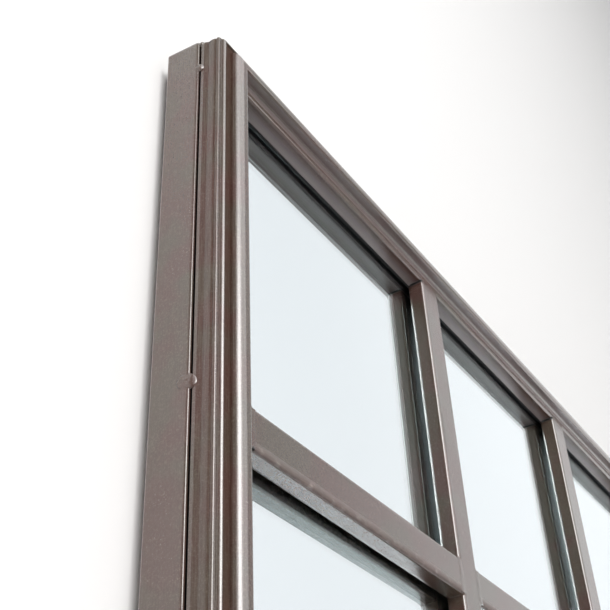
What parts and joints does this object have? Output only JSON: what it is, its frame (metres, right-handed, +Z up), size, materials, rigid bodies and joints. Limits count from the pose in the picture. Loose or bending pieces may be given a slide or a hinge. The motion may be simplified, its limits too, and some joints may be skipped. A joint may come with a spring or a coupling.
{
  "type": "window mirror",
  "caption": "Wall mirror made like a steel window: a mitred moulding and a grid of flat glazing bars over one sheet of mirror glass.",
  "frame": {"origin": "on the wall plane, midway between the round ends of the two keyholes that hang the mirror", "axes": "+X to the viewer's right, +Y into the wall, +Z up; the glass faces -Y"},
  "size_m": [0.6474, 0.0377, 0.8514],
  "materials": {
    "frame_paint": "satin taupe paint over welded steel",
    "mirror_glass": "clear float glass",
    "silvering": "silvered, painted behind",
    "glazing_tape": "black closed-cell foam tape",
    "edge_blocks": "black rubber",
    "backing_board": "brown fibreboard",
    "zinc_screws": "zinc plated"
  },
  "bodies": {
    "root": {"moulding_left": "frame_paint", "moulding_top": "frame_paint", "moulding_right": "frame_paint", "moulding_bottom": "frame_paint", "rear_tube_left": "frame_paint", "rear_tube_top": "frame_paint", "rear_tube_right": "frame_paint", "rear_tube_bottom": "frame_paint", "vertical_bar_1": "frame_paint", "vertical_bar_2": "frame_paint", "cross_bar_row1_1": "frame_paint", "cross_bar_row1_2": "frame_paint", "cross_bar_row1_3": "frame_paint", "cross_bar_row2_1": "frame_paint", "cross_bar_row2_2": "frame_paint", "cross_bar_row2_3": "frame_paint", "cross_bar_row3_1": "frame_paint", "cross_bar_row3_2": "frame_paint", "cross_bar_row3_3": "frame_paint", "slot_welds": "frame_paint", "bar_welds": "frame_paint", "corner_welds": "frame_paint", "board_lugs": "frame_paint", "lug_welds": "frame_paint", "hanger_plate_left": "frame_paint", "hanger_plate_right": "frame_paint", "hanger_welds": "frame_paint", "mirror_glass": "mirror_glass", "silvering": "silvering", "glazing_tape": "glazing_tape", "edge_blocks": "edge_blocks", "backing_board": "backing_board", "board_screws": "zinc_screws"}
  },
  "joints": []
}
